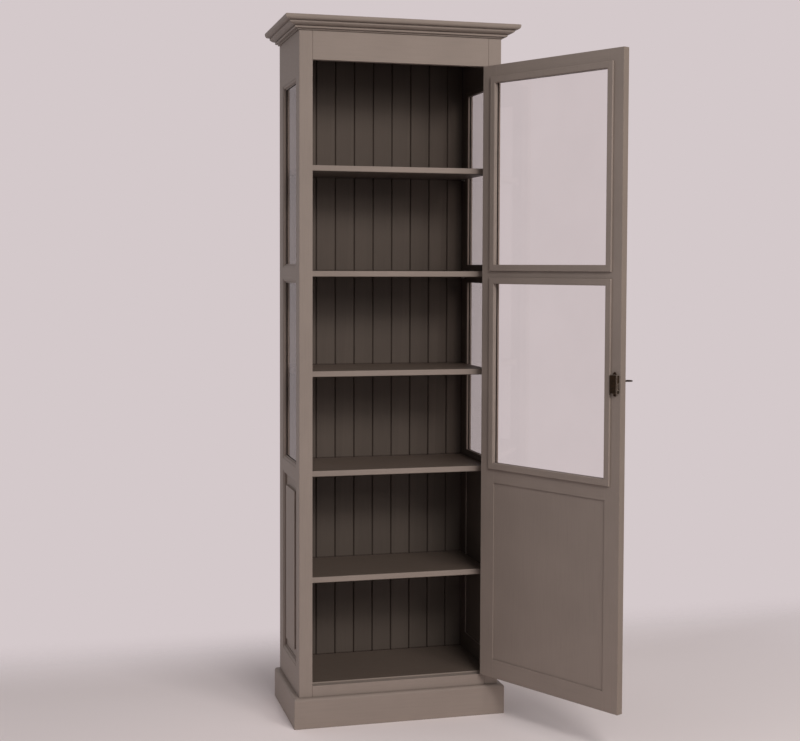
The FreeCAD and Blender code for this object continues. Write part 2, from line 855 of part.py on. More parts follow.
def shelf_pins():
    """Turned pins with a collar against the stile, flattened on top; the shelf lies on them."""
    hold, reach, radius = numbers("shelf_pin_hold", "shelf_pin_reach", "shelf_pin_radius")
    collar, collar_thick = numbers("shelf_pin_collar", "shelf_pin_collar_thick")
    pins = []
    for side, into in (("side_left", -X), ("side_right", X)):
        for end in ("front", "rear"):
            for at in pin_places(side, end):
                stem = Part.makeCylinder(radius, hold + reach, at - into * reach, into)
                ring = Part.makeCylinder(collar, collar_thick, at - into * collar_thick, into)
                corner = at + FreeCAD.Vector(-reach, -collar, radius)
                above = block(corner, corner + FreeCAD.Vector(2 * reach, 2 * collar, collar))
                pins.append(stem.fuse(ring.cut(above)).removeSplitter().Solids[0])
    node(solid("shelf_pins", Part.makeCompound(pins)), "shelf_pins")


# Hinges. Each is drawn round its pin with its foot at zero height.


def hinge_feet():
    low, high, inset, tall = numbers("door_low", "door_high", "hinge_inset", "hinge_height")
    return [low + inset, (low + high - tall) / 2, high - inset - tall]


def at_hinges(shape):
    """Copies of a shape at every hinge, on the pins' axis."""
    x, y = numbers("pin_x", "pin_y")
    copies = []
    for foot in hinge_feet():
        copy = shape.copy()
        copy.translate(FreeCAD.Vector(x, y, foot))
        copies.append(copy)
    return copies


def knuckles(indexes, radius, gap):
    """The stretches of a hinge's barrel with these indexes, out of five."""
    tall = number("hinge_height") / 5
    return [
        Part.makeCylinder(radius, tall - 2 * gap, FreeCAD.Vector(0, 0, i * tall + gap)) for i in indexes
    ]


def leaf(side):
    """One leaf: the cabinet's has knuckles 0, 2 and 4 and side 1, the door's has 1 and 3 and side -1."""
    names = ("leaf_thick", "leaf_width", "hinge_height", "knuckle_radius", "knuckle_gap", "door_gap")
    thick, width, tall, radius, gap, door_gap = numbers(*names)
    mine, other = ((0, 2, 4), (1, 3)) if side > 0 else ((1, 3), (0, 2, 4))
    near = side * door_gap / 2
    start = min(near, near + side * thick)
    plate = Part.makeBox(thick, width + number("pin_forward"), tall, FreeCAD.Vector(start, 0, 0))
    plate = plate.cut(Part.makeCompound(knuckles(other, number("swing_radius"), 0)))
    shape = plate.fuse(knuckles(mine, radius, gap / 2))
    bore = Part.makeCylinder(number("pin_radius + running_gap"), tall)
    shape = shape.cut(bore)
    for at in screw_spots():
        shape = shape.cut(screw(at, side, number("running_gap")))
    return shape.removeSplitter()


def screw_spots():
    """Where the screws of a leaf stand: depth from the leaf's front edge, height."""
    near, far, end, tall = numbers("screw_near", "screw_far", "screw_end", "hinge_height")
    return [(near, end), (far, tall / 2), (near, tall - end)]


def screw(spot, side, grown=0):
    """A countersunk screw flush with the leaf's face; grown makes its hole."""
    head, radius, length = numbers("screw_head_radius", "screw_radius", "screw_length")
    along = X * side
    start = FreeCAD.Vector(side * number("door_gap") / 2, spot[0] + number("pin_forward"), spot[1])
    cone = Part.makeCone(head + grown, radius + grown, head - radius, start, along)
    shank = Part.makeCylinder(radius + grown, length + grown, start, along)
    return cone.fuse(shank)


def slotted(shape, start, along, across):
    """A screw with its driver slot."""
    width, head = numbers("screw_slot", "screw_head_radius")
    slot = block((-2 * head, -width / 2, 0), (2 * head, width / 2, width))
    turn = FreeCAD.Placement(start, FreeCAD.Rotation(across, along.cross(across), along, "XYZ"))
    slot.Placement = turn.multiply(slot.Placement)
    return shape.cut(slot)


def hinge_screws(side):
    screws = []
    gap, forward = numbers("door_gap", "pin_forward")
    for i, spot in enumerate(screw_spots()):
        start = FreeCAD.Vector(side * gap / 2, spot[0] + forward, spot[1])
        across = FreeCAD.Vector(0, math.cos(i), math.sin(i))
        screws.append(slotted(screw(spot, side), start, X * side, across))
    return [copy.Solids[0] for one in screws for copy in at_hinges(one)]


def screw_holes(whose):
    side = 1 if whose == "cabinet" else -1
    play = number("running_gap")
    holes = [copy for spot in screw_spots() for copy in at_hinges(screw(spot, side, play))]
    return solid(f"screw_holes_{whose}", Part.makeCompound(holes))


def hinge_recess(edge, side):
    """What a stile loses to its leaves and to the barrels that turn beside it."""
    tall, thick, width = numbers("hinge_height", "leaf_thick", "leaf_width")
    head, gap, forward, x = numbers("pin_head", "knuckle_gap", "pin_forward", f"{edge} - pin_x")
    deep = Part.makeBox(thick, width + forward, tall, FreeCAD.Vector(min(x, x + side * thick), 0, 0))
    room = 2 * gap + head
    barrel = Part.makeCylinder(number("swing_radius"), tall + 2 * room, FreeCAD.Vector(0, 0, -room))
    return solid(f"hinge_recess_{edge}", Part.makeCompound(at_hinges(deep.fuse(barrel))))


def hinge_pin():
    tall, radius, head_radius, head, gap = numbers(
        "hinge_height", "pin_radius", "pin_head_radius", "pin_head", "knuckle_gap"
    )
    shape = Part.makeCylinder(radius, tall)
    for foot, along in ((Z * tall, Z), (Z * 0, -Z)):
        disc = Part.makeCylinder(head_radius, head / 2, foot, along)
        tip = Part.makeCone(head_radius, radius / 2, head / 2, foot + along * (head / 2), along)
        shape = shape.fuse([disc, tip])
    return shape.removeSplitter()


def hinges():
    node(solid("hinge_leaves_cabinet", Part.makeCompound(at_hinges(leaf(1)))), "hinge_leaves_cabinet")
    moving = node(solid("hinge_leaves_door", Part.makeCompound(at_hinges(leaf(-1)))), "hinge_leaves_door")
    moving.Placement = swing_matrix()
    node(solid("hinge_pins", Part.makeCompound(at_hinges(hinge_pin()))), "hinge_pins")
    node(solid("screws_cabinet", Part.makeCompound(hinge_screws(1))), "screws_cabinet")


# Door.


def door_ease():
    """What softens the door's arrises all round, but for the front one at the hinges."""
    names = ("door_left", "door_right", "door_low", "door_high", "door_thick", "door_ease")
    left, right, low, high, thick, ease = numbers(*names)
    leaf_shape = block((left, 0, low), (right, thick, high))

    def softened(edge):
        box = edge.BoundBox
        return not (box.XMin > right - ease and box.YMax < ease)

    soft = leaf_shape.makeFillet(ease, [edge for edge in leaf_shape.Edges if softened(edge)])
    return solid("door_ease", leaf_shape.cut(soft))


def door():
    frame = Frame("door", "door_bead", "side_thick + door_bead_proud", swings=True)
    rails = (("rail_bottom", "door_low", "panel_low"), *RAILS, ("rail_top", "door_top_low", "door_high"))
    lock_cuts = [solid("keyhole", keyhole_shape(0, "door_thick", "keyhole_radius")), lock_screw_holes()]
    hinge_cuts = [hinge_recess("door_right", -1), screw_holes("door")]
    panelled_frame(
        frame,
        outer=("door_left", "door_right"),
        u=("door_left_edge", "door_right_edge"),
        ends=("door_low", "door_high"),
        rails=rails,
        stiles=(("stile_lock", lock_cuts), ("stile_hinge", hinge_cuts)),
        trim=[door_ease()],
    )


# Lock, bolt, key and escutcheon, on the door.


def keyhole_shape(front, back, radius):
    """A round hole for the key's shank with a slot below it for the bit, through a stretch of v."""
    x, z, front, back, radius = numbers("key_x", "key_height", front, back, radius)
    slot, drop = numbers("keyhole_slot", "bit_reach + bit_thick / 2")
    hole = Part.makeCylinder(radius, back - front, FreeCAD.Vector(x, front, z), Y)
    slit = Part.makeBox(slot, back - front, drop, FreeCAD.Vector(x - slot / 2, front, z - drop))
    return hole.fuse(slit)


def lock_screw_spots():
    x = number("lock_case_start + lock_width / 2")
    face = number("door_thick + lock_ear_thick")
    heights = numbers("lock_low - lock_ear_reach / 2", "lock_high + lock_ear_reach / 2")
    return [FreeCAD.Vector(x, face, z) for z in heights]


def lock_screw(at, grown=0):
    head, radius, length = numbers("screw_head_radius", "screw_radius", "screw_length")
    cone = Part.makeCone(head + grown, radius + grown, head - radius, at, -Y)
    return cone.fuse(Part.makeCylinder(radius + grown, length + grown, at, -Y))


def lock_screw_holes():
    play = number("running_gap")
    return solid("lock_screw_holes", Part.makeCompound([lock_screw(at, play) for at in lock_screw_spots()]))


def lock_case():
    """A box with a plate at the bolt's end and an eared strap on the wood, hollow for bolt and bit."""
    x0, x1, x2, z0, z1 = numbers("lock_face", "lock_case_start", "lock_case_end", "lock_low", "lock_high")
    front, back, wall, gap = numbers("door_thick", "lock_back", "lock_wall", "part_gap")
    outer = block((x1, front, z0), (x2, back, z1))
    outer = outer.makeFillet(number("lock_arris"), [e for e in outer.Edges if e.BoundBox.YMin > back - 0.001])
    plate = block((x0, front, z0), (x1, back, z1))
    radius, reach, thick = numbers("lock_ear_radius", "lock_ear_reach", "lock_ear_thick")
    middle, low, high = (x1 + x2) / 2, z0 - reach + radius, z1 + reach - radius
    strap = block((middle - radius, front, low), (middle + radius, front + thick, high))
    ears = [Part.makeCylinder(radius, thick, FreeCAD.Vector(middle, front, z), Y) for z in (low, high)]
    hollow = block((x1, front + wall, z0 + wall), (x2 - wall, back - wall, z1 - wall))
    bolt_z, bolt_top, bolt_v = numbers("lock_low + bolt_low", "bolt_top", "bolt_front")
    bolt_back = number("bolt_front + bolt_thick")
    mouth = block((x0 - gap, bolt_v - gap, bolt_z - gap), (x1 + gap, bolt_back + gap, bolt_top + gap))
    shape = outer.fuse([plate, strap] + ears).cut([hollow, mouth])
    for at in lock_screw_spots():
        shape = shape.cut(lock_screw(at, number("running_gap")))
    shape = shape.cut(keyhole_shape("door_thick", "door_thick + lock_wall", "key_radius + part_gap"))
    item = node(solid("lock_case", shape.removeSplitter()), "lock_case")
    item.Placement = swing_matrix()


def lock_bolt():
    """A flat bolt under the key, with a notch in its top edge that the bit sweeps through."""
    item = body("lock_bolt")
    tall = "bolt_top - (lock_low + bolt_low)"
    notch = "key_setback + bolt_throw / 2 - lock_setback + bolt_proud"
    deep = f"{tall} - (bolt_top - notch_floor)"
    outline = [
        (0, 0),
        ("bolt_length", 0),
        ("bolt_length", tall),
        (f"{notch} + notch_half", tall),
        (f"{notch} + notch_half", deep),
        (f"{notch} - notch_half", deep),
        (f"{notch} - notch_half", tall),
        (0, tall),
    ]
    pad(item, sketch(item, "XZ_Plane", outline), "bolt_thick", backwards=True)
    place(item, ("lock_face - bolt_proud", "bolt_front", "lock_low + bolt_low"), swings=True)


def key():
    """Shank, collar, bit and a round bow; the bit and the bow lie level."""
    x, z, radius, reach = numbers("key_x", "key_height", "key_radius", "key_reach")
    collar, collar_thick, stand_off = numbers("key_collar", "key_collar_thick", "escutcheon_thick + part_gap")
    tip, bow, bar = numbers("door_thick + key_tip", "bow_diameter / 2", "bow_bar / 2")
    origin = FreeCAD.Vector(x, 0, z)
    start = 2 * bow - reach - bar
    shank = Part.makeCylinder(radius, tip - start, origin + Y * start, Y)
    ring = Part.makeCylinder(collar, collar_thick, origin - Y * stand_off, -Y)
    loop = Part.makeTorus(bow - bar, bar, origin + Y * (bow - reach), Z)
    bit_v, bit_long, bit_thick, bit_reach = numbers("bit_front", "bit_length", "bit_thick", "bit_reach")
    bit = block((x, bit_v, z - bit_thick / 2), (x + bit_reach, bit_v + bit_long, z + bit_thick / 2))
    item = node(solid("key", shank.fuse([ring, loop, bit]).removeSplitter()), "key")
    item.Placement = swing_matrix()


def escutcheon():
    """An oval plate on the door's outer face, centred on the keyhole's length."""
    x, z, wide, tall = numbers("key_x", "key_height", "escutcheon_width", "escutcheon_height")
    thick, drop = numbers("escutcheon_thick", "(bit_reach - key_radius) / 2")
    foot, head = z - drop - (tall - wide) / 2, z - drop + (tall - wide) / 2
    plate = block((x - wide / 2, -thick, foot), (x + wide / 2, 0, head))
    ends = [Part.makeCylinder(wide / 2, thick, FreeCAD.Vector(x, -thick, end), Y) for end in (foot, head)]
    entry = keyhole_shape("0 - escutcheon_thick", 0, "key_radius + part_gap")
    item = node(solid("escutcheon", plate.fuse(ends).cut(entry).removeSplitter()), "escutcheon")
    item.Placement = swing_matrix()


def door_screws():
    screws = hinge_screws(-1)
    for at in lock_screw_spots():
        screws.append(slotted(lock_screw(at), at, -Y, (X + Z).normalize()).Solids[0])
    item = node(solid("screws_door", Part.makeCompound(screws)), "screws_door")
    item.Placement = swing_matrix()


def check():
    """Stops if an object failed or a sub-part's shape isn't sound."""
    doc.recompute()
    failed = [item.Label for item in doc.Objects if {"Invalid", "Error"} & set(item.State)]

    def sound(shape):
        return not shape.isNull() and shape.isValid() and shape.Solids

    bad = [item.Label for item in NODES if not sound(item.Shape)]
    if failed or bad:
        raise RuntimeError(f"failed objects {failed}, unsound shapes {bad}")


def export():
    os.makedirs("parts", exist_ok=True)
    for item in NODES:
        item.Shape.exportStep(f"parts/{item.Label}.step")


plinth()
top_board()
cornice()
face_frame()
side_frames()
floor()
back()
shelves()
shelf_pins()
door()
hinges()
door_screws()
lock_case()
lock_bolt()
key()
escutcheon()
check()
export()
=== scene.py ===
import math

import bpy
from mathutils import Matrix, Vector

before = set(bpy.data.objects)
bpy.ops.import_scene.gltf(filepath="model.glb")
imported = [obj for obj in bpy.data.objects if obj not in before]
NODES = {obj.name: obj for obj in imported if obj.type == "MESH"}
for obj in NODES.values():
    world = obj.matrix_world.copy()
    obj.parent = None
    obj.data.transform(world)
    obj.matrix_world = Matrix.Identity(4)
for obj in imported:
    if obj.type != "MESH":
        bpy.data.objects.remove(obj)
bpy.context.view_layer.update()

# A tall painted bookcase with one glazed door, standing open. Metres, in the frame's own axes: +Z up, +X to
# the right seen from the front, +Y to the back. Every shape is a CAD node; this script adds only the
# materials, the floor, the light and the camera.

FRONT, LEFT, RIGHT = (0, -1, 0), (-1, 0, 0), (1, 0, 0)
UP, DOWN = (0, 0, 1), (0, 0, -1)

DOOR_OPEN = 117.6  # degrees that the door stands open at rest
DOOR_EDGE = (0.463296, -0.886204, 0.0)  # the way the door's lock edge looks at rest

# Colours as sRGB bytes.

PAINT = (139, 125, 116)
# The two colours below are shaded copies of PAINT: painted shade inside the cabinet, on undersides and on
# faces that look inwards.
PAINT_SHADED = (98, 85, 76)
PAINT_DEEP_SHADE = (86, 76, 69)
# The next colour is a shaded copy of PAINT: painted shade on the lock stile's edge face.
PAINT_LOCK_EDGE_SHADE = (126, 112, 102)
PALE = (212, 201, 203)  # the surroundings
PALE_LEFT = (165, 155, 156)  # what glossy faces mirror of them on the left
FLOOR = (239, 226, 224)

# Colours as shaders take them: linear, with alpha.

DOOR_GLASS = (0.93, 0.905, 0.90, 1)
# The side panes' glass is darker than the door's: painted shade, for the shaded wall seen through them.
SIDE_GLASS_SHADED = (0.80, 0.77, 0.76, 1)
# The next colour is painted shade, laid into joints, rebates and inner corners.
CREVICE_SHADE = (0.016, 0.009, 0.006, 1)
IRON_BLACK = (0.020, 0.012, 0.006, 1)
IRON_BROWN = (0.058, 0.032, 0.014, 1)
# The next colour is partly wear, partly a painted glint along the iron's arrises.
IRON_ARRIS_WEAR_AND_GLINT = (0.55, 0.46, 0.38, 1)
ZINC_DULL = (0.42, 0.41, 0.39, 1)
ZINC_BRIGHT = (0.62, 0.61, 0.58, 1)
ZINC_BLACKENED = (0.05, 0.03, 0.02, 1)
# The foam's colours are near black: painted shade in the glazing gaps.
FOAM_DARK = (0.012, 0.010, 0.009, 1)
FOAM_PALE = (0.03, 0.024, 0.02, 1)
GLOW = (0.98, 0.97, 1.0, 1)  # the surroundings' light


def linear(colour, alpha=1.0):
    """sRGB bytes as the linear colour that shaders take."""
    def one(byte):
        value = byte / 255
        return value / 12.92 if value <= 0.04045 else ((value + 0.055) / 1.055) ** 2.4

    return (*[one(byte) for byte in colour], alpha)


def add_object(name, data):
    item = bpy.data.objects.new(name, data)
    bpy.context.scene.collection.objects.link(item)
    return item


# Camera, fitted to corners read off the photograph. Angles in degrees.

IMAGE_WIDTH = 800  # pixels
FOCAL_PIXELS = 1403.1
PRINCIPAL_DROP = -38.1  # pixels from the picture's middle to the lens axis
SENSOR_WIDTH = 36  # millimetres
CAMERA_AT = (-1.0674, -4.0600, 1.3743)
CAMERA_YAW, CAMERA_PITCH, CAMERA_ROLL = 14.684, -2.698, 0.195


def camera():
    lens = bpy.data.cameras.new("camera")
    lens.sensor_fit = "HORIZONTAL"
    lens.sensor_width = SENSOR_WIDTH
    lens.lens = FOCAL_PIXELS / IMAGE_WIDTH * lens.sensor_width
    lens.shift_y = PRINCIPAL_DROP / IMAGE_WIDTH
    turn = (
        Matrix.Rotation(math.radians(-CAMERA_YAW), 4, "Z")
        @ Matrix.Rotation(math.radians(90 + CAMERA_PITCH), 4, "X")
        @ Matrix.Rotation(math.radians(CAMERA_ROLL), 4, "Z")
    )
    item = add_object("camera", lens)
    item.matrix_world = Matrix.Translation(CAMERA_AT) @ turn
    bpy.context.scene.camera = item


# Node trees.

MIX_AMOUNT, MIX_FIRST, MIX_SECOND = 0, 6, 7  # the colour sockets of a Mix node
MIX_RESULT = 2


class Nodes:
    """A short way to write the node tree of a material or a world."""

    def __init__(self, owner):
        self.owner = owner
        owner.use_nodes = True
        self.tree = owner.node_tree
        self.tree.nodes.clear()

    def add(self, kind, inputs=None, **settings):
        """A node. inputs are names or numbers of sockets, each with a value or the socket that feeds it."""
        node = self.tree.nodes.new(kind)
        for key, value in settings.items():
            setattr(node, key, value)
        for key, value in (inputs or {}).items():
            if isinstance(value, bpy.types.NodeSocket):
                self.tree.links.new(value, node.inputs[key])
            else:
                node.inputs[key].default_value = value
        return node

    def out(self, kind, inputs=None, **settings):
        """The first output of a new node."""
        return self.add(kind, inputs, **settings).outputs[0]

    def noise(self, vector, scale, detail, rough):
        return self.add(
            "ShaderNodeTexNoise", {"Vector": vector, "Scale": scale, "Detail": detail, "Roughness": rough}
        ).outputs["Fac"]

    def span(self, value, low, high, start=0.0, end=1.0, curve="LINEAR"):
        """A value that runs from start to end, mapped to low to high."""
        return self.out(
            "ShaderNodeMapRange",
            {"Value": value, "From Min": start, "From Max": end, "To Min": low, "To Max": high},
            interpolation_type=curve,
        )

    def mix(self, amount, first, second, blend="MIX"):
        inputs = {MIX_AMOUNT: amount, MIX_FIRST: first, MIX_SECOND: second}
        return self.add("ShaderNodeMix", inputs, data_type="RGBA", blend_type=blend).outputs[MIX_RESULT]

    def math(self, operation, *values):
        return self.out("ShaderNodeMath", dict(enumerate(values)), operation=operation)

    def dot(self, first, second):
        node = self.add("ShaderNodeVectorMath", {0: first, 1: second}, operation="DOT_PRODUCT")
        return node.outputs["Value"]

    def geometry(self, name):
        return self.add("ShaderNodeNewGeometry").outputs[name]

    def place(self, turn=0.0, scale=(1, 1, 1)):
        """Object coordinates turned about Z by this many degrees, then stretched."""
        source = self.add("ShaderNodeTexCoord").outputs["Object"]
        turned = self.out("ShaderNodeMapping", {"Vector": source, "Rotation": (0, 0, math.radians(turn))})
        return self.out("ShaderNodeMapping", {"Vector": turned, "Scale": scale})

    def bevel(self, radius, samples):
        return self.out("ShaderNodeBevel", {"Radius": radius}, samples=samples)

    def bump(self, height, strength, distance, **more):
        inputs = {"Height": height, "Strength": strength, "Distance": distance, **more}
        return self.out("ShaderNodeBump", inputs)

    def choose(self, amount, first, second):
        """The first shader where amount is 0, the second where it is 1."""
        return self.out("ShaderNodeMixShader", {0: amount, 1: first, 2: second})

    def close(self, shader, kind="ShaderNodeOutputMaterial"):
        """Leads the shader to the tree's output."""
        self.add(kind, {"Surface": shader})
        return self.owner


def new_material(name):
    return Nodes(bpy.data.materials.new(name))


MASK_SAMPLES = 8
EDGE_AGREEMENT = 0.8  # dot product of the rounded and the true normal at which an arris counts in full
CREVICE_DEPTH = 0.45  # fall in openness over which the painted shade in a crevice comes in full
FACING_EDGE = (0.45, 0.55)  # dot product from which a face starts to look a way, and where it does so in full


def edge_mask(tree, radius):
    """Near 1 along arrises, where the rounded normal leaves the true one."""
    agreement = tree.dot(tree.bevel(radius, MASK_SAMPLES), tree.geometry("Normal"))
    return tree.span(agreement, 1.0, 0.0, EDGE_AGREEMENT, 1.0)


def crevice_shade_mask(tree, reach, shade_free_openness):
    """Near 1 in joints, rebates and inner corners, where shade is painted; 0 where the openness reaches the
    shade-free level.
    """
    openness = tree.add("ShaderNodeAmbientOcclusion", {"Distance": reach}, samples=MASK_SAMPLES).outputs["AO"]
    return tree.span(openness, 1.0, 0.0, shade_free_openness - CREVICE_DEPTH, shade_free_openness)


def facing(tree, direction):
    """1 on faces that look this way in the piece's own axes, so a moved piece keeps its colours."""
    own = tree.out(
        "ShaderNodeVectorTransform",
        {"Vector": tree.geometry("True Normal")},
        vector_type="NORMAL",
        convert_from="WORLD",
        convert_to="OBJECT",
    )
    return tree.span(tree.dot(own, direction), 0.0, 1.0, *FACING_EDGE)


# A noise is a scale in features per metre, a detail and a roughness. A name in _FROM is the stretch of a noise
# that is mapped to the two values named before it, or to 0 and 1. A name in _RELIEF is a bump's strength and
# its height in metres.

# Paint. Radii and reaches in metres.

ALONG_GRAIN = 0.035  # how much slower the grain changes along a member than across it
GRAIN, GRAIN_TONES, GRAIN_FROM = (260.0, 4, 0.6), (1.0, 0.95), (0.45, 0.7)
BRUSH = (900.0, 2, 0.5)
CLOUD, CLOUD_TONES, CLOUD_FROM = (5.0, 3, 0.55), (0.95, 1.05), (0.3, 0.7)
SPECK, SPECK_WEAR, SPECK_FROM = (420.0, 2, 0.6), (0.25, 0.8), (0.35, 0.65)
# Arrises are painted paler, in patches: partly wear, partly painted highlight.
ARRIS_RADIUS, ARRIS_PALER = 0.0016, 1.35
CREVICE_REACH = 0.005
SHADE_THINNEST = 0.7  # share of the painted crevice shade that is left where it is thinnest
ROUNDED_RADIUS, ROUNDED_SAMPLES = 0.0009, 6
PAINT_RELIEF = (0.16, 0.0004)
GRAIN_SHARE, BRUSH_SHARE = 0.7, 0.3  # of the relief
SATIN_ROUGHNESS, SATIN_FROM = (0.46, 0.58), (0.7, 1.3)
SATIN_SPECULAR = 0.22


def paint(name, colour, along, turn=0.0, others=(), shade_strength=0.4, shade_free_openness=0.8, boards=0.0):
    """Satin paint rolled over wood: faint grain along the member, brush marks, slight clouding, arrises made
    paler as wear and painted highlight, and painted shade in crevices. others are pairs of a direction and the
    colour of the faces that look that way, lit and shaded copies of the paint as painted shade; boards is how
    far the tone differs from one board of a node to the next."""
    tree = new_material(name)
    stretch = [ALONG_GRAIN if axis == along else 1.0 for axis in "xyz"]
    grain_at, cloud_at = tree.place(turn, stretch), tree.place(turn)
    grain, brush = tree.noise(grain_at, *GRAIN), tree.noise(grain_at, *BRUSH)
    cloud, speck = tree.noise(cloud_at, *CLOUD), tree.noise(cloud_at, *SPECK)

    base = linear(colour)
    for direction, other in others:
        base = tree.mix(facing(tree, direction), base, linear(other))
    tone = tree.mix(1.0, base, tree.span(cloud, *CLOUD_TONES, *CLOUD_FROM), "MULTIPLY")
    if boards:
        board = tree.geometry("Random Per Island")
        tone = tree.mix(1.0, tone, tree.span(board, 1.0 - boards, 1.0 + boards), "MULTIPLY")
    tone = tree.mix(1.0, tone, tree.span(grain, *GRAIN_TONES, *GRAIN_FROM), "MULTIPLY")
    # Paler arrises: wear, and a painted highlight along them.
    arris_wear_and_highlight = tree.mix(1.0, base, (ARRIS_PALER, ARRIS_PALER, ARRIS_PALER, 1), "MULTIPLY")
    rubbed = tree.span(speck, *SPECK_WEAR, *SPECK_FROM)
    tone = tree.mix(tree.math("MULTIPLY", edge_mask(tree, ARRIS_RADIUS), rubbed), tone, arris_wear_and_highlight)
    # Painted shade: joints, rebates and inner corners are darkened, in patches.
    patchy = tree.span(cloud, SHADE_THINNEST * shade_strength, shade_strength, *CLOUD_FROM)
    crevice_shade_amount = tree.math("MULTIPLY", crevice_shade_mask(tree, CREVICE_REACH, shade_free_openness), patchy)
    tone = tree.mix(crevice_shade_amount, tone, CREVICE_SHADE)

    rough = tree.span(tree.math("ADD", cloud, brush), *SATIN_ROUGHNESS, *SATIN_FROM)
    grain_part = tree.math("MULTIPLY", grain, GRAIN_SHARE)
    relief = tree.math("ADD", grain_part, tree.math("MULTIPLY", brush, BRUSH_SHARE))
    rounded = tree.bevel(ROUNDED_RADIUS, ROUNDED_SAMPLES)
    shader = tree.out(
        "ShaderNodeBsdfPrincipled",
        {
            "Base Color": tone,
            "Roughness": rough,
            "Normal": tree.bump(relief, *PAINT_RELIEF, Normal=rounded),
            "Specular IOR Level": SATIN_SPECULAR,
        },
    )
    return tree.close(shader)


# Glass, iron, steel and foam.

FILM, FILM_FROM, FILM_TONE = (6.0, 3, 0.55), (0.35, 0.7), 0.97
GLASS_IOR = 1.5

IRON_PATCHES, IRON_BROWN_FROM = (160.0, 5, 0.65), (0.4, 0.65)
IRON_ROUGHNESS, IRON_ROUGH_FROM = (0.34, 0.6), (0.35, 0.7)
IRON_PORES, IRON_RELIEF = (900.0, 3, 0.6), (0.25, 0.0002)
IRON_ARRIS_RADIUS = 0.0022
IRON_METALLIC = 0.75

ZINC_DULLNESS, ZINC_BRIGHT_FROM = (120.0, 4, 0.6), (0.35, 0.7)
ZINC_ROUGHNESS, ZINC_ROUGH_FROM = (0.24, 0.42), (0.7, 1.3)
SCRATCHES, SCRATCH_RELIEF = (2200.0, 2, 0.5), (0.1, 0.0001)
SCRATCH_ALONG = 0.05  # how much slower the scratches change along Z than across it
LOCK_SIDE = 0.4  # X beyond which the door's screws hold the lock and not the hinges

FOAM_TONES = (40.0, 3, 0.5)
FOAM_PORES, FOAM_RELIEF = (1800.0, 3, 0.6), (0.3, 0.0002)
FOAM_ROUGHNESS, FOAM_SPECULAR = 0.85, 0.2


def glass(name, colour):
    """Clear float glass with a faint film in patches. It lets shadow rays through."""
    tree = new_material(name)
    film = tree.span(tree.noise(tree.place(), *FILM), 0.0, 1.0, *FILM_FROM)
    filmed = (*[channel * FILM_TONE for channel in colour[:3]], 1)
    body = tree.out(
        "ShaderNodeBsdfPrincipled",
        {
            "Base Color": tree.mix(film, colour, filmed),
            "Roughness": 0.0,
            "IOR": GLASS_IOR,
            "Transmission Weight": 1.0,
        },
    )
    clear = tree.out("ShaderNodeBsdfTransparent", {"Color": colour})
    shadow = tree.add("ShaderNodeLightPath").outputs["Is Shadow Ray"]
    return tree.close(tree.choose(shadow, body, clear))


def iron():
    """Blackened iron with brown patches; its arrises are painted bright, partly as wear, partly as a painted
    glint.
    """
    tree = new_material("iron")
    at = tree.place()
    patches, pores = tree.noise(at, *IRON_PATCHES), tree.noise(at, *IRON_PORES)
    tone = tree.mix(tree.span(patches, 0.0, 1.0, *IRON_BROWN_FROM), IRON_BLACK, IRON_BROWN)
    # Bright arrises: wear, and a painted glint.
    tone = tree.mix(edge_mask(tree, IRON_ARRIS_RADIUS), tone, IRON_ARRIS_WEAR_AND_GLINT)
    shader = tree.out(
        "ShaderNodeBsdfPrincipled",
        {
            "Base Color": tone,
            "Roughness": tree.span(patches, *IRON_ROUGHNESS, *IRON_ROUGH_FROM),
            "Normal": tree.bump(pores, *IRON_RELIEF),
            "Metallic": IRON_METALLIC,
        },
    )
    return tree.close(shader)


def steel(name, blackened=False):
    """Zinc-plated steel, slightly dulled and scratched. blackened darkens it on the lock's side."""
    tree = new_material(name)
    at = tree.place()
    dull = tree.noise(at, *ZINC_DULLNESS)
    scratch = tree.noise(tree.place(0, (1, 1, SCRATCH_ALONG)), *SCRATCHES)
    tone = tree.mix(tree.span(dull, 0.0, 1.0, *ZINC_BRIGHT_FROM), ZINC_DULL, ZINC_BRIGHT)
    if blackened:
        across = tree.add("ShaderNodeSeparateXYZ", {"Vector": at}).outputs["X"]
        tone = tree.mix(tree.math("GREATER_THAN", across, LOCK_SIDE), tone, ZINC_BLACKENED)
    shader = tree.out(
        "ShaderNodeBsdfPrincipled",
        {
            "Base Color": tone,
            "Roughness": tree.span(tree.math("ADD", dull, scratch), *ZINC_ROUGHNESS, *ZINC_ROUGH_FROM),
            "Normal": tree.bump(scratch, *SCRATCH_RELIEF),
            "Metallic": 1.0,
        },
    )
    return tree.close(shader)


def tape():
    """Dark matt foam, near black: a dark strip standing as painted shade in the gap between glass and
    moulding.
    """
    tree = new_material("tape")
    at = tree.place()
    pores = tree.noise(at, *FOAM_PORES)
    shader = tree.out(
        "ShaderNodeBsdfPrincipled",
        {
            "Base Color": tree.mix(tree.noise(at, *FOAM_TONES), FOAM_DARK, FOAM_PALE),
            "Roughness": FOAM_ROUGHNESS,
            "Normal": tree.bump(pores, *FOAM_RELIEF),
            "Specular IOR Level": FOAM_SPECULAR,
        },
    )
    return tree.close(shader)


# Which node wears what.

LOCK_NODES = ("lock_case", "lock_bolt", "key", "escutcheon")
INNER_NODES = ("back_rail", "floor_cleats")
DEEP_NODES = ("plinth_left", "plinth_right", "cornice_left", "cornice_right")
WIDE_NODES = ("plinth_front", "cornice_front", "top_board", "face_rail_top", "face_rail_bottom")
# Strengths of the painted shade in crevices on the door and on the sides.
DOOR_CREVICE_SHADE, SIDE_CREVICE_SHADE = 0.15, 0.2
# Painted shade draws out the joints between the back boards: only faces this open are left without it.
BACK_CREVICE_SHADE, BACK_SHADE_FREE = 1.0, 0.95
BACK_BOARDS = 0.06  # how far the back's tone differs from board to board


def wear(node, material):
    """Gives a CAD node this material alone."""
    mesh = NODES[node].data
    mesh.materials.clear()
    mesh.materials.append(material)


